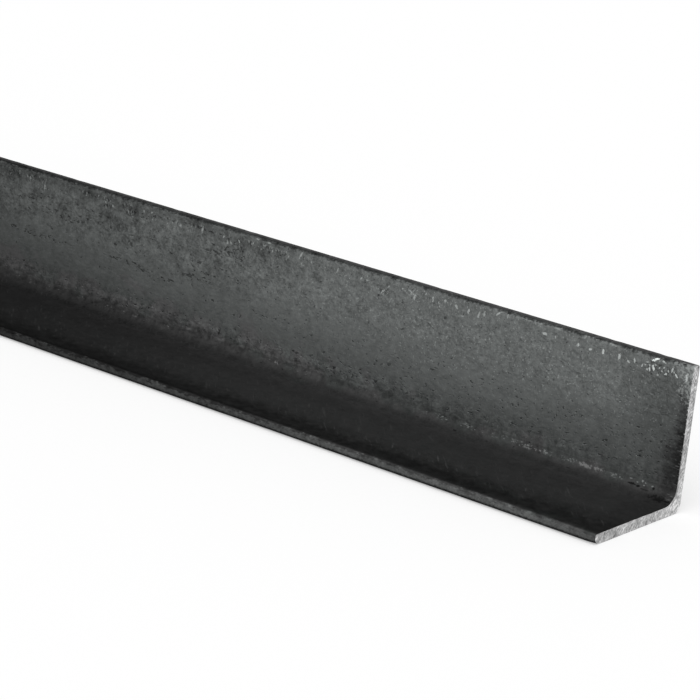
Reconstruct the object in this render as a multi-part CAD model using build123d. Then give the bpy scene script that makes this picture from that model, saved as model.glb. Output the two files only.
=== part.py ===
from build123d import *

import os

# Hot-rolled steel equal angle: one solid, an L section carried along its whole length.
# Millimetres, +Z up. X runs along the bar. One leg lies flat and points to -Y, and the
# other stands up at +Y, so the heel is the lower +Y corner. The origin is on the floor,
# under the middle of the bar's box.

# Driving dimensions
LEG = 40.0  # width of each leg, heel to toe
THICKNESS = 3.0  # of both legs
LENGTH = 1000.0  # between the two sawn ends
ROOT_RADIUS = 4.5  # fillet in the inside corner
HEEL_RADIUS = 2.8  # rounding of the outside corner
FLAT_TOE_OUTER_RADIUS = 1.8  # lower edge of the flat leg's toe
FLAT_TOE_INNER_RADIUS = 0.6  # upper edge of the flat leg's toe
UPRIGHT_TOE_OUTER_RADIUS = 0.6  # back edge of the upright leg's toe
UPRIGHT_TOE_INNER_RADIUS = 1.2  # front edge of the upright leg's toe

# The two roundings of a toe share its thickness, and a flat strip is left between them.
TOE_FLAT = 0.1  # least flat strip, as a share of the thickness


def toe_radii(outer, inner):
    """The outer and inner rounding of one toe, kept within the thickness of the leg."""
    room = THICKNESS * (1 - TOE_FLAT)
    share = min(1, room / (outer + inner))
    return outer * share, inner * share


def outline_corners():
    """Each corner of the L, as (y, z), with the radius that rounds it, from the heel round."""
    heel_y = LEG / 2
    toe_y = -LEG / 2
    inner_y = heel_y - THICKNESS
    flat_outer, flat_inner = toe_radii(FLAT_TOE_OUTER_RADIUS, FLAT_TOE_INNER_RADIUS)
    upright_outer, upright_inner = toe_radii(UPRIGHT_TOE_OUTER_RADIUS, UPRIGHT_TOE_INNER_RADIUS)
    return (
        ((heel_y, 0), HEEL_RADIUS),
        ((heel_y, LEG), upright_outer),
        ((inner_y, LEG), upright_inner),
        ((inner_y, THICKNESS), ROOT_RADIUS),
        ((toe_y, THICKNESS), flat_inner),
        ((toe_y, 0), flat_outer),
    )


def rolled_section():
    """The L section in the YZ plane, with the root, heel and toes rounded as the rolls leave them."""
    corners = outline_corners()
    outline = Polyline([point for point, _ in corners], close=True)
    section = make_face(outline)
    for point, radius in corners:
        corner = section.vertices().sort_by_distance(point)[0]
        section = fillet(corner, radius)
    return Plane.YZ * section


def angle_bar():
    """The section carried to both sawn ends, which are square to the length."""
    return extrude(rolled_section(), amount=LENGTH / 2, both=True)


os.makedirs("parts", exist_ok=True)
export_step(angle_bar(), "parts/angle_bar.step")
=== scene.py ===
import math

import bmesh
import bpy
from mathutils import Matrix, Vector, noise


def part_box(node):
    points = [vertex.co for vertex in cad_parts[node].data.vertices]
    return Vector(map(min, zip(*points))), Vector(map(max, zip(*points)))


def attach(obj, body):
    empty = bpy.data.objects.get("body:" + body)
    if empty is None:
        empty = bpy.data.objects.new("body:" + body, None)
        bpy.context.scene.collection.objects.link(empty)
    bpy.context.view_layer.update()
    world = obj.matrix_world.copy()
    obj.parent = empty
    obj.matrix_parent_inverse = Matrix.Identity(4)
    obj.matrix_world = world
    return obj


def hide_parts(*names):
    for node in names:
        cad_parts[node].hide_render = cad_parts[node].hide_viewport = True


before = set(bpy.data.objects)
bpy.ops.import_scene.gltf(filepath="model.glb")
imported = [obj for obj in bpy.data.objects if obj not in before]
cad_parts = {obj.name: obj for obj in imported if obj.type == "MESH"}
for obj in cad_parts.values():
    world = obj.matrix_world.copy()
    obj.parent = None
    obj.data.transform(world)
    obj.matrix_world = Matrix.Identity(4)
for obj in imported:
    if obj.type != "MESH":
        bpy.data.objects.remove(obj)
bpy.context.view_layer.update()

# A length of hot-rolled steel equal angle, lying on one leg on a pale studio floor.
# Metres, +Z up. X runs along the bar, the flat leg points to -Y and the other stands at +Y.

MM = 0.001
BAR = "angle_bar"
low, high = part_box(BAR)

# The rolled section, from the bar's box inwards
THICKNESS = 3.0 * MM
ROOT_RADIUS = 4.5 * MM
HEEL_RADIUS = 2.8 * MM
FLAT_TOE_OUTER_RADIUS = 1.8 * MM
FLAT_TOE_INNER_RADIUS = 0.6 * MM
UPRIGHT_TOE_OUTER_RADIUS = 0.6 * MM
UPRIGHT_TOE_INNER_RADIUS = 1.2 * MM
INNER_Y = high.y - THICKNESS  # the standing leg's inside face
SEAT_Z = low.z + THICKNESS  # the flat leg's upper face

# How finely the skin is divided, so that it can carry the rolls' and the saw's marks
CELL = 1.6 * MM  # across the section
ARC_SEGMENTS = 6
FINE_STRETCH = 260 * MM  # at each end
FINE_STEP = 1.2 * MM
COARSE_STEP = 2.4 * MM
LIP_STEPS = (0.25 * MM, 0.35 * MM, 0.6 * MM)  # the last rings before a sawn end
RIM = 0.25 * MM  # the strip round a sawn end

# The rolls' marks, and the nicks along the toes
WAVE_DEPTH = 0.10 * MM
WAVE_SIZE = 12 * MM  # across the bar
WAVE_STRETCH = 3  # and longer by this factor along it
DIMPLE_DEPTH = 0.06 * MM
DIMPLE_SIZE = 3.5 * MM
ROLL_FADE = 2 * MM  # the rolls' marks fade out over this much beside a toe
TOE_WEAR_WIDTH = 1.2 * MM
TOE_WEAR_DEPTH = 0.12 * MM
NICK_SIZE = 4.0 * MM
NICK_GAP = 0.1  # unevenness under this leaves no nick

# The saw's marks, and what the cut leaves at the edges
CORNER_WEAR = Vector((3.0, 3.0, 2.5)) * MM  # how far the flat toe's worn lower corners reach
CORNER_LIFT = 0.4 * MM
SAW_DEPTH = 0.08 * MM
SAW_SLANT = math.radians(40)
SAW_MARK_SIZE = (2 * MM, 0.8 * MM, 9 * MM)  # into the end, across a line and along it
EASED_EDGE = 0.06 * MM
BURR_HEIGHT = 0.12 * MM  # at the standing toe; it dies away toward the root
FLAT_BURR_HEIGHT = 0.04 * MM
BURR_TOOTH = 1.3 * MM  # how long its teeth are
BURR_RUN = 4 * MM  # and its longer swells
BURR_STOP = 1.0 * MM  # the burr ends this far short of a toe
SEAT_SLACK = 0.2 * MM  # an outline point this near an inner face counts as over it

# How far along the bar a face's normal has to point
SQUARE_END = 0.9  # at least, for a face of a square end
SAWN_LEAN = 0.6  # at least, for one that gets the sawn finish
SKIN_LEAN = 0.5  # at most, for one that is part of the skin

PLANE_SLACK = 1e-7  # a vertex nearer than this to a cutting plane lies on it
SHARP_EDGE = math.radians(40)  # an edge that turns more than this is shaded sharp


def mix(a, b, share):
    """What lies between a and b: a where the share is 0, b where it is 1."""
    return a + (b - a) * share


# ---------------------------------------------------------------- the bar's mesh

def section_corners():
    """The section's six sharp corners, each with its radius: (y, z, radius), seen from +X."""
    return (
        (high.y, low.z, HEEL_RADIUS),
        (high.y, high.z, UPRIGHT_TOE_OUTER_RADIUS),
        (INNER_Y, high.z, UPRIGHT_TOE_INNER_RADIUS),
        (INNER_Y, SEAT_Z, ROOT_RADIUS),
        (low.y, SEAT_Z, FLAT_TOE_INNER_RADIUS),
        (low.y, low.z, FLAT_TOE_OUTER_RADIUS),
    )


def rolled_section(bm):
    """The section as one face at the bar's -X end, with its corners rounded."""
    corners = section_corners()
    verts = [bm.verts.new((low.x, y, z)) for y, z, radius in corners]
    bm.faces.new(verts)
    for vert, (y, z, radius) in zip(verts, corners):
        bmesh.ops.bevel(bm, geom=[vert], offset=radius, offset_type="OFFSET", affect="VERTICES",
                        segments=ARC_SEGMENTS, profile=0.5, material=-1)


def cut(bm, place, across):
    """Cuts every face of the section along a plane."""
    geom = bm.verts[:] + bm.edges[:] + bm.faces[:]
    bmesh.ops.bisect_plane(bm, geom=geom, dist=PLANE_SLACK, plane_co=place, plane_no=across)


def divide_section(bm):
    """Rules the section into cells, along each leg and down the middle of its thickness."""
    leg = high.z - low.z
    first = ROOT_RADIUS + THICKNESS
    count = round((leg - first - FLAT_TOE_OUTER_RADIUS) / CELL)
    for i in range(count + 1):
        reach = first + (leg - FLAT_TOE_OUTER_RADIUS - first) * i / count
        cut(bm, (0, high.y - reach, 0), (0, 1, 0))
        cut(bm, (0, 0, low.z + reach), (0, 0, 1))
    cut(bm, (0, high.y - THICKNESS / 2, 0), (0, 1, 0))
    cut(bm, (0, 0, low.z + THICKNESS / 2), (0, 0, 1))


def places_along():
    """Where the bar is divided along its length, finely near its ends."""
    lips = sum(LIP_STEPS)
    middle = high.x - low.x - 2 * (FINE_STRETCH + lips)
    stretches = [(s, s) for s in LIP_STEPS]
    stretches += [(FINE_STRETCH, FINE_STEP), (middle, COARSE_STEP), (FINE_STRETCH, FINE_STEP)]
    stretches += [(s, s) for s in reversed(LIP_STEPS)]
    places = [low.x]
    for length, step in stretches:
        start, count = places[-1], max(1, round(length / step))
        places += [start + length * (i + 1) / count for i in range(count)]
    return places


def bar_blank():
    """The bar with true faces and square ends, drawn out of the section ring by ring."""
    bm = bmesh.new()
    rolled_section(bm)
    divide_section(bm)
    cells, corners = bm.faces[:], bm.verts[:]
    rim = [edge.link_loops[0] for edge in bm.edges if edge.is_boundary]
    sides = [(loop.vert, loop.link_loop_next.vert) for loop in rim]
    ring = {start: start for start, end in sides}
    for place in places_along()[1:]:
        last, ring = ring, {v: bm.verts.new((place, v.co.y, v.co.z)) for v in ring}
        for start, end in sides:
            bm.faces.new((last[start], last[end], ring[end], ring[start]))
    far = {v: ring[v] if v in ring else bm.verts.new((high.x, v.co.y, v.co.z)) for v in corners}
    for face in cells:
        bm.faces.new([far[v] for v in face.verts])
    bmesh.ops.recalc_face_normals(bm, faces=bm.faces[:])
    return bm


def unevenness(point, size, seed=0.0):
    """Smooth noise from -1 to 1 at a point, with bumps of the given size."""
    return noise.noise(point / size + Vector((seed, seed, seed)))


def toe_gap(point):
    """How far a point lies inside the nearer toe."""
    return min(high.z - point.z, point.y - low.y)


def roll_marks(point):
    """How far the rolled skin lies under its true face at a point: never proud of it."""
    stretched = Vector((point.x / WAVE_STRETCH, point.y, point.z))
    wave = max(0.0, unevenness(stretched, WAVE_SIZE))
    dimple = max(0.0, unevenness(point, DIMPLE_SIZE, seed=7.0))
    return (WAVE_DEPTH * wave + DIMPLE_DEPTH * dimple) * min(1.0, toe_gap(point) / ROLL_FADE)


def toe_wear(point):
    """Shallow nicks along both toes, deepest at their corners."""
    nearness = max(0.0, 1.0 - toe_gap(point) / TOE_WEAR_WIDTH)
    nick = max(0.0, unevenness(point, NICK_SIZE, seed=19.0) - NICK_GAP)
    return TOE_WEAR_DEPTH * nearness * nick


def corner_lift(point):
    """How far the flat toe's lower corner is worn up at a point, most at the cut itself."""
    along = max(0.0, 1.0 - min(high.x - point.x, point.x - low.x) / CORNER_WEAR.x)
    across = max(0.0, 1.0 - (point.y - low.y) / CORNER_WEAR.y)
    upward = max(0.0, 1.0 - (point.z - low.z) / CORNER_WEAR.z)
    return CORNER_LIFT * along * across * upward


def roughen_skin(verts):
    """Presses the rolls' unevenness and the toes' nicks into the skin, square to the bar's length."""
    for vert in verts:
        across = Vector((0.0, vert.normal.y, vert.normal.z)).normalized()
        vert.co -= across * (roll_marks(vert.co) + toe_wear(vert.co))


def end_faces(bm, side):
    """The faces of the square end on one side: 1 for +X, -1 for -X."""
    return [f for f in bm.faces if f.normal.x * side > SQUARE_END]


def is_skin(face):
    """Whether a face runs along the bar."""
    return abs(face.normal.x) < SKIN_LEAN


def divide_end(bm, side):
    """Rims an end face, divides what is inside the rim, and returns the outline and the inner vertices."""
    faces = end_faces(bm, side)
    bmesh.ops.inset_region(bm, faces=faces, thickness=RIM, use_even_offset=True, use_boundary=True)
    edges = list(dict.fromkeys(e for f in faces for e in f.edges))
    bmesh.ops.subdivide_edges(bm, edges=edges, cuts=2, use_grid_fill=True)
    many_sided = [f for f in end_faces(bm, side) if len(f.verts) > 4]
    bmesh.ops.triangulate(bm, faces=many_sided, quad_method="BEAUTY", ngon_method="BEAUTY")
    bm.normal_update()
    cap = {v for f in end_faces(bm, side) for v in f.verts}
    outline = {v for v in cap if any(is_skin(f) for f in v.link_faces)}
    return in_order(outline), in_order(cap - outline)


def saw_marks(point):
    """Depth of the blade's slanting lines on a cut end."""
    slant = point.copy()
    slant.rotate(Matrix.Rotation(SAW_SLANT, 3, "X"))
    mark = Vector([place / size for place, size in zip(slant, SAW_MARK_SIZE)])
    return SAW_DEPTH * (0.5 + 0.5 * noise.noise(mark))


def faces_in(point):
    """Whether a point of an end's outline is on the inside of the corner, clear of both toes."""
    over_flat_leg = SEAT_Z - SEAT_SLACK < point.z < high.z - BURR_STOP
    return over_flat_leg and low.y + BURR_STOP < point.y < INNER_Y + SEAT_SLACK


def burr(point):
    """How far the torn lip stands up off the skin."""
    climb = (point.z - SEAT_Z) / (high.z - SEAT_Z)
    teeth = max(0.0, unevenness(point, BURR_TOOTH, seed=41.0))
    runs = max(0.0, unevenness(point, BURR_RUN, seed=43.0))
    return mix(FLAT_BURR_HEIGHT, BURR_HEIGHT, max(0.0, climb)) * (2 * teeth + runs)


def cut_end(bm, side):
    """Gives an end its saw marks, eased outer edges, and the burr along its inside edge."""
    outline, inner = divide_end(bm, side)
    for vert in inner:
        vert.co.x -= side * saw_marks(vert.co)
    for vert in outline:
        across = Vector((0.0, vert.normal.y, vert.normal.z)).normalized()
        if faces_in(vert.co):
            vert.co += across * burr(vert.co)
        else:
            vert.co.x -= side * EASED_EDGE
            vert.co -= across * EASED_EDGE


def in_order(verts):
    """A set of vertices as a list that comes out the same every time."""
    return sorted(verts, key=lambda v: tuple(v.co))


def angle_piece():
    """The whole bar as one object, with its skin first and its sawn ends second among its finishes."""
    bm = bar_blank()
    bm.normal_update()
    for side in (-1, 1):
        cut_end(bm, side)
    bm.normal_update()
    skin = {v for f in bm.faces if is_skin(f) for v in f.verts}
    roughen_skin(in_order(skin))
    for vert in bm.verts:
        vert.co.z += corner_lift(vert.co)
    for face in bm.faces:
        face.smooth = True
        face.material_index = 1 if abs(face.normal.x) > SAWN_LEAN else 0
    mesh = bpy.data.meshes.new("rolled_angle")
    bm.to_mesh(mesh)
    bm.free()
    mesh.set_sharp_from_angle(angle=SHARP_EDGE)
    piece = bpy.data.objects.new("rolled_angle", mesh)
    bpy.context.scene.collection.objects.link(piece)
    return piece


# ---------------------------------------------------------------- shader arithmetic

class Value:
    """A number that changes over a surface. Python's own signs add its Math nodes."""

    def __init__(self, shader, socket):
        self.shader = shader
        self.socket = socket

    def math(self, operation, *others):
        """A Math node with this value first."""
        sockets = dict(enumerate([self, *others]))
        node = self.shader.add("ShaderNodeMath", {"operation": operation}, sockets)
        return Value(self.shader, node.outputs[0])

    def turned(self, operation, other):
        """A Math node with this value second, for signs that have a plain number on their left."""
        node = self.shader.add("ShaderNodeMath", {"operation": operation}, {0: other, 1: self})
        return Value(self.shader, node.outputs[0])

    def __add__(self, other):
        return self.math("ADD", other)

    def __radd__(self, other):
        return self.turned("ADD", other)

    def __sub__(self, other):
        return self.math("SUBTRACT", other)

    def __rsub__(self, other):
        return self.turned("SUBTRACT", other)

    def __mul__(self, other):
        return self.math("MULTIPLY", other)

    def __rmul__(self, other):
        return self.turned("MULTIPLY", other)

    def __truediv__(self, other):
        return self.math("DIVIDE", other)

    def __rtruediv__(self, other):
        return self.turned("DIVIDE", other)

    def __abs__(self):
        return self.math("ABSOLUTE")

    def lower_of(self, other):
        return self.math("MINIMUM", other)

    def higher_of(self, other):
        return self.math("MAXIMUM", other)

    def times_plus(self, factor, addend):
        """This value times a factor, plus an addend, in one node."""
        return self.math("MULTIPLY_ADD", factor, addend)

    def rise(self, start, end, at_start=0.0, at_end=1.0):
        """Goes smoothly from at_start to at_end between start and end, and stays level outside them."""
        settings = {"interpolation_type": "SMOOTHSTEP", "clamp": True}
        sockets = {"Value": self, "From Min": start, "From Max": end, "To Min": at_start, "To Max": at_end}
        node = self.shader.add("ShaderNodeMapRange", settings, sockets)
        return Value(self.shader, node.outputs[0])


class Shader:
    """A node tree, and the one method that adds its nodes."""

    def __init__(self, tree):
        tree.nodes.clear()
        self.tree = tree

    def add(self, kind, settings=None, sockets=None):
        """A new node with its settings, and then its sockets set or linked."""
        node = self.tree.nodes.new(kind)
        for name, setting in (settings or {}).items():
            if name == "stops":
                self.set_stops(node.color_ramp, setting)
            else:
                setattr(node, name, setting)
        for name, value in (sockets or {}).items():
            self.feed(node.inputs[name], value)
        return node

    def set_stops(self, ramp, stops):
        """Gives a ramp its stops, each a position and a grey tone."""
        for i, (position, tone) in enumerate(stops):
            stop = ramp.elements[i] if i < 2 else ramp.elements.new(position)
            stop.position = position
            stop.color = (tone, tone, tone, 1.0)

    def feed(self, socket, value):
        """Links a value or a socket to a socket, or sets it to a plain number, colour or vector."""
        source = value.socket if isinstance(value, Value) else value
        if isinstance(source, bpy.types.NodeSocket):
            self.tree.links.new(source, socket)
        else:
            socket.default_value = source

    def place_mm(self):
        """The point on the bar in millimetres, as a vector socket."""
        where = self.add("ShaderNodeTexCoord").outputs["Object"]
        scaled = self.add("ShaderNodeVectorMath", {"operation": "SCALE"}, {0: where, "Scale": 1 / MM})
        return scaled.outputs[0]

    def split(self, vector):
        """A vector's X, Y and Z."""
        parts = self.add("ShaderNodeSeparateXYZ", None, {0: vector})
        return [Value(self, out) for out in parts.outputs]

    def noise(self, vector, sizes, detail=2.0, roughness=0.5, shift=0.0, distortion=0.0):
        """Noise about 0.5, with spots of the given size in millimetres along X, Y and Z."""
        sockets = {"Vector": vector, "Location": (shift, shift, shift), "Scale": [1 / s for s in sizes]}
        fitted = self.add("ShaderNodeMapping", None, sockets)
        sockets = {"Vector": fitted.outputs[0], "Scale": 1.0, "Detail": detail, "Roughness": roughness,
                   "Distortion": distortion}
        return Value(self, self.add("ShaderNodeTexNoise", None, sockets).outputs[0])

    def tinted(self, tint, tone):
        """A tint made darker or lighter by a value, as a colour."""
        return self.add("ShaderNodeVectorMath", {"operation": "SCALE"}, {0: tint, "Scale": tone}).outputs[0]

    def finish(self, kind, sockets):
        """Adds the material's last shader and its output."""
        surface = self.add(kind, None, sockets)
        self.tree.links.new(surface.outputs[0], self.add("ShaderNodeOutputMaterial").inputs["Surface"])


def new_material(name):
    """A material that is made of nodes."""
    material = bpy.data.materials.new(name)
    material.use_nodes = True
    return material


# ---------------------------------------------------------------- finishes

# Mill scale is a faintly green grey where it is clean, and neutral where it is dull
CLEAN_TINT = (0.950, 1.0, 0.982, 1.0)
DULL_TINT = (1.0, 1.0, 1.0, 1.0)
SAWN_TINT = (1.0, 1.0, 1.0)

# Tones, where 0 is black and 1 is white
ROOT_STAIN = 0.008
# TOE_TOP is painted shade on the standing toe's up-facing top
TOE_TOP = 0.035
SCRATCH = 0.060
CUT_DASH = 0.13
OUTER_SKIN = 0.135
ROOT_GLINT = 0.18
TOE_TOP_AT_CUT = 0.22
EDGE_GLINT = 0.30
CORNER_SPECK = 0.34
TORN_LIP = 0.42
SAWN_FACE = 0.45
# also the tone of the painted highlights above the root
BARE_FLECK_AND_GLINT = 0.95

# How metallic the scale is, from the bright standing leg to the dark strip beside the flat toe
BRIGHT_SCALE = 0.85
FLAT_SCALE = 0.5
DULL_SCALE = 0.2

# Bump, in millimetres
PIT_DEPTH = 0.14
LOW_SWIRL_DEPTH = 0.07
HIGH_SWIRL_DEPTH = 0.26
SAW_LINE_DEPTH = 0.10

SCRATCH_LEAN = math.radians(48)  # the flat leg's scratches, away from the bar's length

# The skin's tone inside the corner, by the fold: height above the floor less depth from the
# standing leg, both in millimetres. It is 40 at the standing toe, 3 in the root, -34 at the flat toe.
# The low tones on the up-facing flat leg and in the root fillet are painted shade.
FOLD_START = -37.0
FOLD_END = 40.0
FOLD_TONES = (
    (-34.0, 0.042),
    (-33.4, 0.018),
    (-32.8, 0.011),
    (-28.5, 0.0105),
    (-19.7, 0.028),
    (-14.0, 0.031),
    (-7.0, 0.034),
    (-1.5, 0.049),
    (0.5, 0.041),
    (2.2, 0.034),
    (3.2, 0.040),
    (5.0, 0.053),
    (6.5, 0.053),
    (7.4, 0.113),
    (8.6, 0.172),
    (13.0, 0.175),
    (20.0, 0.162),
    (28.0, 0.160),
    (40.0, 0.152),
)


class BarPoint:
    """Where a shaded point lies on the bar, in millimetres, and masks that are 1 on parts of its skin."""

    def __init__(self, s):
        self.place = s.place_mm()
        x, y, z = s.split(self.place)
        self.height = z - low.z / MM
        self.depth = INNER_Y / MM - y  # from the standing leg's inside face to the flat toe
        self.near = high.x / MM - x  # from the +X end
        self.end_gap = (high.x - low.x) / 2 / MM - abs(x - (high.x + low.x) / 2 / MM)
        self.fold = self.height - self.depth
        self.inside = self.depth.rise(-1.4, -0.6) * self.height.rise(2.1, 2.5)
        self.standing = self.inside * self.fold.rise(7.0, 9.0)
        self.upper = self.height.rise(18.0, 31.0)
        self.lying = self.inside * self.fold.rise(3.0, 1.0)
        self.strip = self.lying * self.fold.rise(-20.0, -29.0)  # the darkest strip on the flat leg, beside its toe
        feather = s.noise(self.place, (3.0, 1.6, 1.6), detail=3.0, roughness=0.75, shift=103.0) - 0.5
        feather = feather * self.near.rise(60.0, 160.0, 6.0, 8.0)
        self.flat_toe = (self.fold + feather).rise(-33.9, -34.9) * self.depth.rise(35.0, 35.6)
        self.ragged = s.noise(self.place, (1.1, 1.1, 1.1), detail=2.0, roughness=0.7, shift=91.0) - 0.5
        self.standing_toe = (self.height + self.ragged * 2.0).rise(39.0, 39.85)
        fine = s.noise(self.place, (0.55, 0.55, 0.55), detail=1.0, roughness=0.7, shift=33.0) - 0.5
        self.spot_edge = fine * 4.0

    def spot(self, near, fold, half_length, half_width, turn=0.0, strength=1.0, raggedness=None):
        """A strength on an uneven oval and 0 off it, placed from the +X end and by the fold."""
        cosine = math.cos(math.radians(turn))
        sine = math.sin(math.radians(turn))
        along = (fold * sine - near * cosine) / half_length
        across = (-near * sine - fold * cosine) / half_width
        long_way = self.fold.times_plus(-sine / half_length, along)
        long_way = self.near.times_plus(cosine / half_length, long_way)
        short_way = self.fold.times_plus(cosine / half_width, across)
        short_way = self.near.times_plus(sine / half_width, short_way)
        edge = self.spot_edge if raggedness is None else self.ragged * raggedness
        reach = long_way.times_plus(long_way, short_way.times_plus(short_way, edge))
        return reach.rise(0.5, 1.2, strength, 0.0)


def fold_tone(s, fold):
    """The tone that the list above gives for a fold."""
    span = FOLD_END - FOLD_START
    stops = [((place - FOLD_START) / span, tone) for place, tone in FOLD_TONES]
    share = (fold - FOLD_START) / span
    ramp = s.add("ShaderNodeValToRGB", {"stops": stops}, {0: share})
    return Value(s, ramp.outputs[0])


def length_tone_and_falloff(at):
    """Partly cooled unevenly and partly a painted falloff of light away from the +X end: darker from a
    hand's breadth behind it, paler again further on.
    """
    # Mostly painted falloff of light: the tone drops away from the +X end.
    along = at.near.rise(80, 260, 1.0, 0.61) + at.near.rise(280, 460, 0.0, 0.29)
    low_near = at.near.rise(2, 16, 0.70, 0.83) + at.near.rise(16, 80, 0.0, 0.10)
    low_near = low_near + at.near.rise(80, 130, 0.0, 0.07)
    low_end = mix(1.0, low_near, at.height.rise(26, 14) * at.standing)
    high_end = mix(1.0, at.end_gap.rise(1, 30, 0.60, 1.0), at.height.rise(14, 24) * at.height.rise(37, 34))
    high_far = mix(1.0, at.near.rise(105, 175, 1.0, 0.75), at.height.rise(34, 38))
    toe_edge = mix(1.0, 0.76, at.height.rise(38.8, 39.4) * at.near.rise(50, 90))
    low_far = mix(1.0, at.near.rise(110, 240, 1.0, 0.76), at.inside * at.fold.rise(6.5, 5.0))
    root_far = mix(1.0, at.near.rise(50, 150, 1.0, 1.22), at.fold.rise(5.5, 7.0) * at.fold.rise(11.0, 9.0))
    at_cut = at.end_gap.rise(1.5, 4.5, 1.04, 0.86) + at.end_gap.rise(5, 14, 0.0, 0.14)
    flat = mix(1.0, at_cut, at.lying)
    strip_near = at.near.rise(3, 14, 1.40, 1.02) + at.near.rise(30, 45, 0.0, -0.18)
    strip_near = strip_near + at.near.rise(45, 140, 0.0, 0.16) + at.near.rise(150, 200, 0.0, 0.18)
    strip = mix(1.0, strip_near, at.strip)
    return along * low_end * high_end * high_far * toe_edge * low_far * root_far * flat * strip


def skin_tone(s, at, drift):
    """The tone of the clean skin before its grain and marks, with painted shade and a painted falloff of
    light in it.
    """
    # Painted falloff of light along the flat toe's face, brightest near the +X end.
    toe_tone_and_falloff = at.near.rise(10, 220, 1.28, 0.34) + at.near.rise(260, 440, 0.0, 0.5)
    swell = at.near.rise(10, 30, 0.85, 1.10) + at.near.rise(45, 62, 0.0, -0.10)
    # Painted shade: the flat toe's face turns dark down its lower rounding.
    toe = (at.height + at.ragged * 1.2).rise(0.75, 1.4, 0.013, 0.080) * toe_tone_and_falloff * swell
    # Painted falloff of light along the flat toe's top face.
    lip = mix(1.0, at.near.rise(30, 150, 1.5, 0.5), at.fold.rise(-31.0, -33.2))
    inner = at.inside.higher_of(at.depth.rise(36.0, 36.4))
    skin = mix(mix(OUTER_SKIN, fold_tone(s, at.fold + drift) * lip, inner), toe, at.flat_toe)
    tone = skin * mix(length_tone_and_falloff(at), 1.0, at.flat_toe)
    # Painted shade on the standing toe's top, with a painted falloff of light away from the +X end.
    top = mix(TOE_TOP * at.near.rise(20, 250, 1.2, 0.55), TOE_TOP_AT_CUT, at.end_gap.rise(1.4, 0.5))
    return mix(tone, top, at.standing_toe)


# Flecks torn under the standing toe and, fainter, painted highlights above the root, in millimetres:
# distance from the +X end, height, half length, half width, lean in degrees, and how bare or bright each is
FRESH_FLECKS = (
    (1.8, 36.4, 0.90, 0.35, -80, 0.34),
    (1.6, 37.6, 0.40, 0.25, 60, 0.22),
    (4.8, 36.3, 0.60, 0.28, -50, 0.42),
    (5.6, 37.0, 0.35, 0.20, -70, 0.28),
    (6.2, 37.5, 0.65, 0.28, 80, 0.34),
    (7.9, 36.0, 0.55, 0.28, 25, 0.44),
    (7.4, 36.9, 0.35, 0.22, -75, 0.36),
    (8.7, 37.5, 0.30, 0.20, 20, 0.34),
    (9.2, 36.4, 0.30, 0.20, -20, 0.30),
    (10.0, 37.1, 0.35, 0.18, 70, 0.26),
    (9.0, 39.1, 0.50, 0.25, -20, 0.30),
    (8.4, 38.8, 0.25, 0.20, 40, 0.24),
    (10.3, 35.2, 0.35, 0.25, 0, 0.22),
    (11.5, 38.9, 1.00, 0.33, 33, 0.80),
    (11.8, 36.6, 0.85, 0.32, -74, 0.50),
    (11.2, 37.6, 0.30, 0.20, 10, 0.28),
    (12.9, 36.1, 0.60, 0.25, -70, 0.42),
    (13.6, 35.8, 0.35, 0.20, 0, 0.28),
    (13.7, 37.7, 0.40, 0.20, 0, 0.30),
    (13.0, 37.1, 0.30, 0.20, 70, 0.28),
    (14.3, 36.9, 0.25, 0.20, 0, 0.26),
    (15.2, 36.4, 0.40, 0.20, 75, 0.26),
    (17.6, 37.1, 0.80, 0.25, -75, 0.30),
    (19.3, 36.3, 0.60, 0.25, -35, 0.26),
    (22.3, 37.0, 0.95, 0.35, 88, 0.32),
    (27.3, 37.0, 0.75, 0.35, 88, 0.38),
    (31.3, 36.5, 0.50, 0.35, 0, 0.32),
    (35.1, 36.8, 0.55, 0.32, 85, 0.32),
    (42.3, 36.8, 0.45, 0.25, 90, 0.20),
    (45.7, 37.0, 0.80, 0.40, 0, 0.28),
    (57.9, 38.7, 0.70, 0.22, 75, 0.14),
)
FRESHNESS = 1.25  # they are barer than listed by this factor

FADED_FLECKS = (
    (60.8, 38.7, 1.10, 0.20, 38, 0.26),
    (65.5, 37.3, 0.85, 0.35, 80, 0.20),
    (67.2, 36.6, 0.90, 0.35, 80, 0.23),
    (70.6, 36.9, 0.75, 0.35, 75, 0.28),
    (74.8, 37.2, 0.75, 0.40, -45, 0.26),
    (78.6, 37.8, 0.45, 0.35, 0, 0.23),
    (82.7, 37.6, 0.40, 0.30, 70, 0.24),
    (88.8, 36.3, 0.75, 0.40, 85, 0.25),
    (90.3, 37.5, 0.55, 0.25, -30, 0.20),
    (97.8, 36.9, 0.50, 0.22, 50, 0.20),
    (105.3, 36.9, 0.40, 0.20, 10, 0.20),
    (107.4, 37.0, 0.45, 0.22, 15, 0.24),
    (115.8, 37.2, 0.85, 0.22, 75, 0.22),
    (129.2, 38.3, 1.20, 0.30, 62, 0.22),
    (140.9, 39.2, 0.60, 0.35, 0, 0.20),
    (142.2, 38.0, 0.45, 0.30, 40, 0.16),
    (143.6, 36.7, 0.40, 0.35, 0, 0.17),
    (145.0, 39.3, 0.65, 0.30, 0, 0.17),
    (151.8, 37.0, 0.50, 0.25, -60, 0.26),
    (157.7, 37.0, 0.60, 0.32, 70, 0.21),
    (165.8, 37.1, 1.10, 0.35, 85, 0.22),
    (174.2, 36.6, 0.45, 0.40, 0, 0.22),
    (185.5, 37.7, 0.40, 0.30, 0, 0.17),
    (188.6, 37.4, 0.50, 0.35, -30, 0.14),
    (200.8, 36.2, 0.40, 0.35, 0, 0.17),
    (228.8, 35.8, 1.10, 0.28, 88, 0.15),
)
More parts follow.
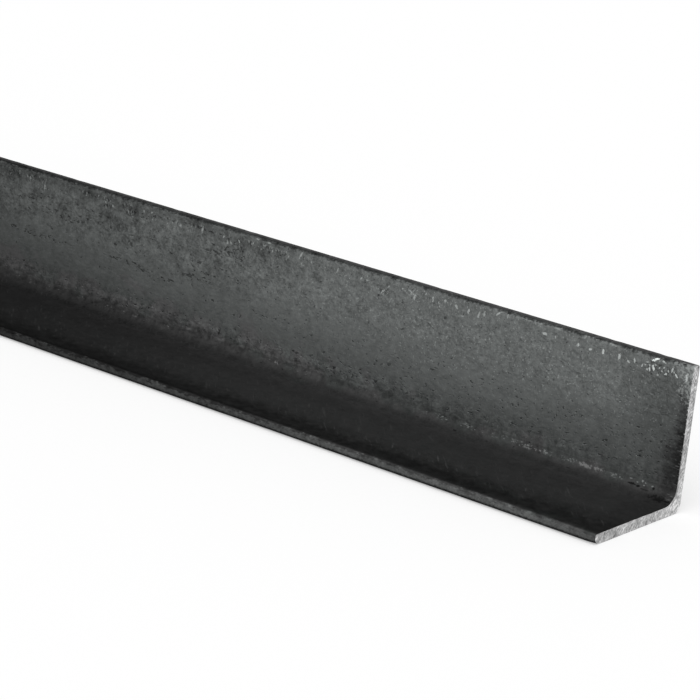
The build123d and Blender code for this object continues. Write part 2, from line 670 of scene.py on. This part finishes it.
# Painted highlights: light specks along the top of the root near the +X end.
ROOT_GLINT_SPECKS = (
    (7.0, 5.4, 0.30, 0.25, 0, 0.12),
    (9.2, 5.8, 0.35, 0.25, 90, 0.14),
    (9.5, 4.9, 0.25, 0.25, 0, 0.13),
    (10.2, 6.1, 0.40, 0.25, 80, 0.16),
    (11.6, 5.3, 0.35, 0.25, 20, 0.12),
    (13.7, 5.8, 0.40, 0.30, 0, 0.11),
)


def strongest(values):
    """The highest of several values at each point."""
    top, *others = values
    for value in others:
        top = top.higher_of(value)
    return top


def placed_flecks_and_glints(at):
    """The listed flecks, as how bare the metal is, and the painted highlights above the root."""
    fresh = [at.spot(*place, bareness * FRESHNESS) for *place, bareness in FRESH_FLECKS]
    others = [at.spot(*fleck) for fleck in FADED_FLECKS + ROOT_GLINT_SPECKS]
    return strongest(fresh + others) * at.inside


def flecks(s, at):
    """Torn scale under the standing toe: how bare its flecks and specks are, and how dark its pits; the
    painted highlights above the root count with the bare flecks.
    """
    patch = s.noise(at.place, (6.0, 5.0, 5.0), detail=1.0, shift=53.0) - 0.5
    speck = s.noise(at.place, (0.8, 1.0, 1.3), detail=2.0, roughness=0.75, shift=17.0) - 0.5
    wandering = at.height + patch * 4.0
    band = wandering.rise(34.8, 36.0) * wandering.rise(39.4, 38.2) * at.inside
    close = at.near.rise(16.0, 12.5) * at.near.rise(3.5, 5.0) * 0.11
    further = patch * 0.6 * at.near.rise(56.0, 90.0) - at.near.rise(90.0, 60.0) * 0.1
    bright = (speck + further).rise(0.12, 0.22) * at.near.rise(60.0, 190.0, 0.36, 0.14)
    dark = (close.higher_of(further) * 1.5 - speck).rise(0.13, 0.22)
    return (bright * band).higher_of(placed_flecks_and_glints(at)), dark * band * (1.0 - bright)


def edge_glints(s, at):
    """Painted highlights: thin light dashes along the standing toe's inside edge."""
    dash = s.noise(at.place, (2.2, 0.7, 0.7), detail=2.0, roughness=0.7, shift=23.0)
    line = abs(at.height - 39.3 + at.ragged * 0.5).rise(0.12, 0.4, 1.0, 0.0)
    run = at.near.rise(16, 24) * at.near.rise(45, 60, 1.0, 0.25)
    return dash.rise(0.52, 0.60) * line * run * at.inside


def corner_specks(s, at):
    """Bare specks on the standing leg's upper corner, right behind a cut."""
    fine = s.noise(at.place, (0.8, 0.8, 0.8), detail=2.0, roughness=0.8, shift=47.0)
    width = at.height.rise(37.0, 39.0, 5.5, 8.5)
    reach = (at.end_gap / width).rise(1.0, 0.1) * at.height.rise(27.0, 36.5)
    return (fine + reach * 0.12).rise(0.52, 0.66) * reach.rise(0.0, 0.3) * at.inside


def swirl(s, at):
    """The scale's slow curling relief, about zero."""
    return s.noise(at.place, (2.6, 2.6, 2.6), detail=2.0, roughness=0.6, shift=43.0, distortion=1.0) - 0.5


def curls(s, at, field):
    """Fine curved lines that follow the relief, broken short: about 1 on light ones, -1 on dark."""
    pieces = s.noise(at.place, (1.7, 1.7, 1.7), detail=1.0, shift=67.0) - 0.5
    lines = abs(field).rise(0.0, 0.05, 1.0, 0.0).higher_of(abs(abs(field) - 0.11).rise(0.0, 0.05, 1.0, 0.0))
    return lines * (pieces * 7.0).lower_of(1.0).higher_of(-1.0)


def burr_shine(s, at):
    """Bare metal on the torn lip, brightest near the standing toe."""
    torn = s.noise(at.place, (1.0, 0.8, 0.8), detail=2.0, shift=29.0)
    lip = at.end_gap.rise(0.40, 0.15) * at.inside * at.depth.rise(9.0, 4.0)
    return lip * (torn + at.height.rise(12.0, 38.0, -0.14, 0.04)).rise(0.50, 0.60)


def cut_dashes(s, at):
    """Short light strokes along the bar, right behind a cut and low on the standing leg."""
    stroke = s.noise(at.place, (2.0, 0.5, 0.5), detail=1.0, roughness=0.7, shift=31.0)
    reach = at.end_gap.rise(2.6, 1.2) * at.height.rise(24.0, 18.0) * at.height.rise(3.0, 5.0)
    return stroke.rise(0.55, 0.63) * reach * at.inside


def cut_margin(s, at):
    """Skin darker and less green behind a cut, widest low on the standing leg."""
    ragged = s.noise(at.place, (3.0, 1.4, 1.4), detail=3.0, roughness=0.75, shift=5.0) - 0.5
    hollow = at.height.rise(2.5, 12.0, 0.4, 1.0) * at.height.rise(22.0, 36.0, 1.0, 0.0)
    reach = mix(4.5, 9.0, at.height.rise(24.0, 12.0))
    margin = ((at.end_gap + ragged * 11.0) / reach).rise(0.0, 1.0, 0.24, 1.0)
    return mix(1.0, margin, at.inside * hollow)


def root_glints(s, at):
    """Painted highlights: clusters of light specks along the top of the root."""
    gap = abs(at.fold + at.ragged * 1.6 - 5.2)
    speck = s.noise(at.place, (0.8, 0.6, 0.6), detail=2.0, roughness=0.8, shift=61.0)
    run = s.noise(at.place, (3.2, 3.2, 3.2), detail=0.0, shift=37.0) - 0.5
    crowding = at.near.rise(55, 90, 0.0, -0.12) + at.near.rise(35, 22, 0.0, 0.04)
    found = (speck + run * 0.5 + crowding).rise(0.55, 0.65)
    return gap.rise(0.3, 1.2, 1.0, 0.0) * found * at.near.rise(13.0, 17.0) * at.inside


def root_stains(at):
    """Black stains in the root near the +X end: a row of pits, and a blot at the cut."""
    return at.inside * strongest([
        at.spot(12.9, 4.2, 1.3, 0.40, strength=0.9, raggedness=4.0),
        at.spot(11.0, 4.0, 0.6, 0.45, strength=0.95, raggedness=3.0),
        at.spot(9.0, 3.4, 1.5, 0.30, strength=0.5, raggedness=3.0),
        at.spot(6.5, 4.8, 0.4, 0.50, strength=0.9, raggedness=3.0),
        at.spot(3.8, 1.5, 2.8, 1.25, strength=0.8, raggedness=6.0)])


def root_crinkle(s, at):
    """Dark ragged patches where the standing leg runs into the root, away from the +X end."""
    crinkle = s.noise(at.place, (3.4, 2.4, 2.4), detail=3.0, roughness=0.7, shift=101.0, distortion=0.8)
    reach = at.fold.rise(4.0, 6.0) * at.fold.rise(12.0, 8.5)
    return (crinkle + reach * 0.06).rise(0.52, 0.64) * reach * at.near.rise(35, 75) * at.inside


def smears(at):
    """Two dark smears high on the standing leg, about 140 and 200 mm behind the +X end."""
    near_one = at.spot(138.0, 31.8, 3.4, 2.4, turn=-20.0, raggedness=5.0)
    far_one = at.spot(201.0, 32.6, 5.6, 1.5, turn=-17.0, raggedness=5.0)
    return near_one.higher_of(far_one) * at.inside


# The plainer scratches on the flat leg, in millimetres: distance from the +X end, fold, half length,
# half width, lean in degrees, and how bright each is
SCRATCHES = (
    (22.8, -12.4, 3.4, 0.26, -48, 0.9),
    (30.5, -20.6, 1.8, 0.24, -60, 0.8),
    (59.0, -20.2, 2.9, 0.26, -50, 1.0),
    (70.3, -8.2, 2.7, 0.26, -34, 0.8),
    (72.8, -21.9, 2.5, 0.28, -58, 0.9),
    (83.0, -9.4, 3.2, 0.28, -51, 0.7),
    (87.0, -18.4, 2.5, 0.40, -53, 0.5),
    (102.0, -14.9, 3.6, 0.35, -46, 0.7),
    (108.0, -13.9, 2.2, 0.24, -54, 0.8),
)


def scratches(s, at, leaning):
    """Light scratches on the flat leg, all leaning much the same way, none of them long."""
    line = s.noise(leaning, (5.0, 0.5, 5.0), detail=1.0, shift=107.0)
    faint = line.rise(0.64, 0.74) * at.fold.rise(-29.0, -24.0) * 0.5
    plain = strongest([at.spot(*scratch) for scratch in SCRATCHES])
    return faint.higher_of(plain) * at.lying


def root_drift(s, at):
    """How far the tones wander where the standing leg runs into the root, in millimetres of fold."""
    wander = (s.noise(at.place, (2.6, 1.9, 1.9), detail=3.0, roughness=0.7, shift=27.0) - 0.5) * 2.4
    return wander * at.near.rise(50, 120, 0.5, 1.0) * at.fold.rise(12.0, 7.0) * at.fold.rise(-1.0, 4.0)


def strip_drift(s, at, leaning):
    """How far the dark strip beside the flat toe wanders, in millimetres of fold."""
    wander = (s.noise(leaning, (6.0, 2.2, 6.0), detail=2.0, roughness=0.6, shift=113.0) - 0.5) * 11.0
    wander = wander - at.near.rise(32, 18) * 1.6 + at.near.rise(90, 130) * 0.6
    return wander * at.fold.rise(-16.0, -21.0) * at.fold.rise(-32.0, -29.0)


def skin_grain(s, at, field):
    """Mottle and fine grain, as a factor on the tone."""
    cloud = s.noise(at.place, (9.0, 7.0, 7.0), detail=2.0, roughness=0.6, shift=87.0, distortion=0.6) - 0.5
    mottle = s.noise(at.place, (3.2, 3.2, 3.2), detail=1.0, roughness=0.9, distortion=0.5) - 0.5
    fine = s.noise(at.place, (0.8, 0.8, 0.8), detail=1.0, roughness=1.0, shift=13.0) - 0.5
    streak = s.noise(at.place, (2.2, 0.6, 0.6), detail=1.0, roughness=0.8, shift=73.0) - 0.5
    salt = s.noise(at.place, (0.6, 0.6, 0.6), detail=1.0, shift=57.0).rise(0.64, 0.74)
    salt = salt * at.standing * at.height.rise(12, 26, 0.35, 1.0)
    far = at.near.rise(80, 160)
    root = at.fold.rise(1.0, 4.5) * at.fold.rise(13.0, 9.0)
    standing_toe = at.standing_toe * at.near.rise(50, 170, 0.7, 0.42)
    toes = at.flat_toe.higher_of(standing_toe)
    coarse_toes = (at.flat_toe * at.near.rise(40, 110, 0.5, 1.0)).higher_of(standing_toe)
    strip = at.lying * at.fold.rise(-22.0, -27.0)
    flat = at.lying * mix(1.0, at.near.rise(110, 190, 1.0, 2.0), at.fold.rise(-27.0, -22.0))
    coarse_depth = 0.4 + at.upper * mix(0.2, 0.9, far) + root * 0.5 + coarse_toes * 1.2
    coarse_depth = coarse_depth + flat * 0.28 + strip * at.near.rise(110, 190, 1.2, 0.9)
    fine_depth = 0.25 + at.standing * at.upper * mix(0.65, 0.8, far) + root * 0.5 + toes + flat * 0.45
    grain = mottle * coarse_depth + fine * fine_depth
    grain = grain + cloud * at.standing * mix(0.2, 1.0, at.upper * far)
    grain = grain + streak * at.standing * mix(0.38, 0.2, at.upper)
    lines = curls(s, at, field) * (at.standing * mix(0.09, 0.18, at.upper) + root * mix(0.22, 0.30, far))
    return 1.0 + grain + lines + salt * mix(0.75, 0.30, far)


def pits(s, at):
    """Fine dark pits, some of them in rows along the bar."""
    row = s.noise(at.place, (30.0, 2.4, 2.4), detail=1.0, shift=83.0).rise(0.53, 0.62)
    pit = s.noise(at.place, (1.2, 0.7, 0.7), detail=2.0, shift=71.0)
    crowd = row * at.near.rise(110, 160) * at.height.rise(13.0, 19.0)
    low = at.standing * at.height.rise(24.0, 18.0) * at.near.rise(150, 100)
    crinkle = at.fold.rise(6.0, 8.0) * at.fold.rise(14.0, 9.0) * at.near.rise(60, 130)
    return (pit + crowd * 0.12 + low * 0.05 + crinkle * 0.06).rise(0.69, 0.74)


def scale_tint(s, at, share):
    """The skin's tint: clean on the standing leg, partly so at the flat toe, and dull elsewhere."""
    patch = s.noise(at.place, (7.0, 5.0, 5.0), detail=1.0, shift=81.0) - 0.5
    reach = at.near.rise(4.0, 16.0) * at.near.rise(170.0, 100.0) * 7.0
    clean = (at.fold + patch * 30.0 + reach).rise(8.0, 15.0) * at.inside
    beside_toe = at.lying * at.fold.rise(-20.0, -27.0) * at.near.rise(80.0, 10.0)
    beside_toe = beside_toe * (patch * 8.0).rise(-0.3, 0.7)
    clean = clean.higher_of(beside_toe).higher_of(at.flat_toe * 0.5) * share
    colours = {0: clean, 6: DULL_TINT, 7: CLEAN_TINT}
    return s.add("ShaderNodeMix", {"data_type": "RGBA"}, colours).outputs[2]


def clean_scale(s, at, field, leaning, margin):
    """The skin's tone with its grain and its broad patches, before any small mark."""
    drift = root_drift(s, at) + strip_drift(s, at, leaning)
    tone = skin_tone(s, at, drift) * skin_grain(s, at, field) * margin
    return tone * (1.0 - root_crinkle(s, at) * 0.28) * (1.0 - smears(at) * 0.22)


def marked_scale(s, at, tone, leaning, pit):
    """The clean scale's tone with its pits, stains, scratches, bare metal and painted highlights laid over
    it in turn.
    """
    bright, dark = flecks(s, at)
    tone = tone * (1.0 - dark * 0.5) * (1.0 - pit * 0.5)
    marks = (
        (ROOT_STAIN, root_stains(at)),
        (CORNER_SPECK, corner_specks(s, at) * 0.6),
        (EDGE_GLINT, edge_glints(s, at) * 0.8),
        (ROOT_GLINT, root_glints(s, at) * 0.8),
        (SCRATCH, scratches(s, at, leaning)),
        (CUT_DASH, cut_dashes(s, at) * 0.8),
        (BARE_FLECK_AND_GLINT, bright),
        (TORN_LIP, burr_shine(s, at)),
    )
    for mark_tone, share in marks:
        tone = mix(tone, mark_tone, share)
    return tone


def metalness(at):
    """How metallic the skin is: least on the strip, the standing toe and the flat toe's lower edge."""
    under_toe = at.flat_toe * at.height.rise(1.5, 0.9)
    dull = at.strip.higher_of(at.standing_toe).higher_of(under_toe)
    metal = mix(mix(BRIGHT_SCALE, FLAT_SCALE, at.lying), DULL_SCALE, dull)
    return mix(metal, BRIGHT_SCALE, at.flat_toe * at.height.rise(1.5, 2.0))


def mill_scale():
    """Black mill scale: a tone and a tint that change over the skin, with pits and a slow swirl as bump."""
    material = new_material("mill_scale")
    s = Shader(material.node_tree)
    at = BarPoint(s)
    margin = cut_margin(s, at)
    field = swirl(s, at)
    pit = pits(s, at)
    turned = {"Vector": at.place, "Rotation": (0, 0, SCRATCH_LEAN)}
    leaning = s.add("ShaderNodeMapping", None, turned).outputs[0]
    tone = clean_scale(s, at, field, leaning, margin)
    tone = marked_scale(s, at, tone, leaning, pit)
    relief = field * at.standing * mix(LOW_SWIRL_DEPTH, HIGH_SWIRL_DEPTH, at.upper) - pit * PIT_DEPTH
    bump = s.add("ShaderNodeBump", None, {"Strength": 1.0, "Distance": MM, "Height": relief})
    s.finish("ShaderNodeBsdfPrincipled", {
        "Base Color": s.tinted(scale_tint(s, at, margin), tone),
        "Metallic": metalness(at),
        "Roughness": 0.34 + at.standing * 0.10,
        "Specular IOR Level": 0.0,
        "Normal": bump.outputs[0]})
    return material


def sawn_steel():
    """Bright cut ends: fine slanting marks of the saw, a painted highlight and painted shade along the
    inside edge, and painted shade along the outside edge.
    """
    material = new_material("sawn_steel")
    s = Shader(material.node_tree)
    at = BarPoint(s)
    turned = s.add("ShaderNodeMapping", None, {"Vector": at.place, "Rotation": (SAW_SLANT, 0, 0)})
    marks = s.noise(turned.outputs[0], (1.0, 0.5, 2.0), detail=2.0, roughness=0.9) - 0.5
    grit = s.noise(at.place, (0.7, 0.7, 0.7), detail=1.0, roughness=0.8, shift=15.0) - 0.5
    cloud = s.noise(at.place, (3.0, 3.0, 3.0), detail=3.0, roughness=0.7, shift=9.0) - 0.5
    # rim: a painted highlight just inside the inner edge, high on the standing leg.
    rim = at.depth.rise(-0.9, -0.3) * at.height.rise(10.0, 24.0)
    tone = (SAWN_FACE + rim * 0.06) * (1.0 + marks * 3.0 + grit * 1.6) * (1.0 + cloud * 1.2)
    # Painted shade along the inner edge, most low on the standing leg, and a little along the outer edge.
    inner_width = at.height.rise(20.0, 10.0, 0.5, 0.9)
    inner_edge_shade = (at.depth / inner_width).rise(-1.0, 0.0) * at.height.rise(3.5, 6.0)
    inner_edge_shade = inner_edge_shade * at.height.rise(20.0, 32.0, 0.5, 0.2)
    outer_edge_shade = at.depth.rise(-2.0, -2.8) * at.height.rise(10.0, 18.0)
    heel = at.fold.rise(-9.0, -1.0) * at.fold.rise(13.0, 7.0)
    by_toe = at.fold.rise(-24.0, -27.0) * at.fold.rise(-34.0, -32.0)
    tone = tone * (1.0 - inner_edge_shade) * (1.0 - outer_edge_shade * 0.2) * (1.0 + heel * 0.2 - by_toe * 0.2)
    relief = marks * SAW_LINE_DEPTH
    bump = s.add("ShaderNodeBump", None, {"Strength": 1.0, "Distance": MM, "Height": relief})
    s.finish("ShaderNodeBsdfPrincipled", {
        "Base Color": s.tinted(SAWN_TINT, tone),
        "Metallic": 0.9,
        "Roughness": 0.5,
        "Specular IOR Level": 0.2,
        "Normal": bump.outputs[0]})
    return material


# ---------------------------------------------------------------- studio

FLOOR_SIZE = 120.0
FLOOR_ALBEDO = 0.6
SKY_LIGHT = 0.6  # the world's level as a light
KEY_LEVEL = 0.4  # what the key adds to a white surface that faces up
KEY_SPREAD = math.radians(70)
KEY_SIDE = Vector((0.55, -0.6, 1.0))  # where it shines from

CAMERA_PLACE = Vector((833.51, -578.70, 233.26)) * MM
CAMERA_TILT = 73.584  # degrees up from looking straight down
CAMERA_ROLL = -5.807
CAMERA_TURN = 38.292  # degrees left from looking along +Y
CAMERA_LENS = 142.9  # in millimetres
CAMERA_SENSOR = 36.0


def seen_directly(s):
    """1 for rays from the camera, mirrored or let through; 0 for rays that only bring light."""
    path = s.add("ShaderNodeLightPath").outputs
    kinds = [Value(s, path[name]) for name in ("Is Camera Ray", "Is Glossy Ray", "Is Transmission Ray")]
    return (kinds[0] + kinds[1] + kinds[2]).lower_of(1.0)


def white_world():
    """An even sky, white to the eye and softer as a light."""
    world = bpy.data.worlds.new("studio")
    bpy.context.scene.world = world
    world.use_nodes = True
    s = Shader(world.node_tree)
    strength = seen_directly(s).rise(0.0, 1.0, SKY_LIGHT, 1.0)
    back = s.add("ShaderNodeBackground", None, {"Color": (1, 1, 1, 1), "Strength": strength})
    s.tree.links.new(back.outputs[0], s.add("ShaderNodeOutputWorld").inputs["Surface"])


def floor_finish():
    """A pale matt floor, lifted to white for the eye; the bar's soft shadow stays on it."""
    material = new_material("studio_floor")
    s = Shader(material.node_tree)
    albedo = (FLOOR_ALBEDO, FLOOR_ALBEDO, FLOOR_ALBEDO, 1)
    matt = s.add("ShaderNodeBsdfDiffuse", None, {"Color": albedo})
    lift = 1.0 - FLOOR_ALBEDO * (SKY_LIGHT + KEY_LEVEL)
    glow = s.add("ShaderNodeEmission", None, {"Strength": seen_directly(s) * lift})
    s.finish("ShaderNodeAddShader", {0: matt.outputs[0], 1: glow.outputs[0]})
    return material


def studio_floor():
    """The floor that the bar lies on."""
    bm = bmesh.new()
    bmesh.ops.create_grid(bm, x_segments=1, y_segments=1, size=FLOOR_SIZE / 2)
    mesh = bpy.data.meshes.new("floor")
    bm.to_mesh(mesh)
    bm.free()
    mesh.transform(Matrix.Translation((0, 0, low.z)))
    floor = bpy.data.objects.new("floor", mesh)
    bpy.context.scene.collection.objects.link(floor)
    mesh.materials.append(floor_finish())


def key_light():
    """A very broad soft light from above, in front and off the bar's +X end."""
    lamp = bpy.data.lights.new("key", "SUN")
    lamp.angle = KEY_SPREAD
    toward = KEY_SIDE.normalized()
    lamp.energy = math.pi * KEY_LEVEL / toward.z
    key = bpy.data.objects.new("key", lamp)
    key.rotation_mode = "QUATERNION"
    key.rotation_quaternion = toward.to_track_quat("Z", "Y")
    bpy.context.scene.collection.objects.link(key)


def camera():
    """Looks down on the +X end from the front, about 0.7 m away."""
    data = bpy.data.cameras.new("camera")
    data.sensor_width = CAMERA_SENSOR
    data.lens = CAMERA_LENS
    eye = bpy.data.objects.new("camera", data)
    eye.location = CAMERA_PLACE
    eye.rotation_euler = [math.radians(angle) for angle in (CAMERA_TILT, CAMERA_ROLL, CAMERA_TURN)]
    bpy.context.scene.collection.objects.link(eye)
    bpy.context.scene.camera = eye


white_world()
studio_floor()
key_light()
camera()
bpy.context.scene.view_settings.view_transform = "Standard"

bar = angle_piece()
bar.data.materials.append(mill_scale())
bar.data.materials.append(sawn_steel())
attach(bar, "root")
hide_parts(BAR)
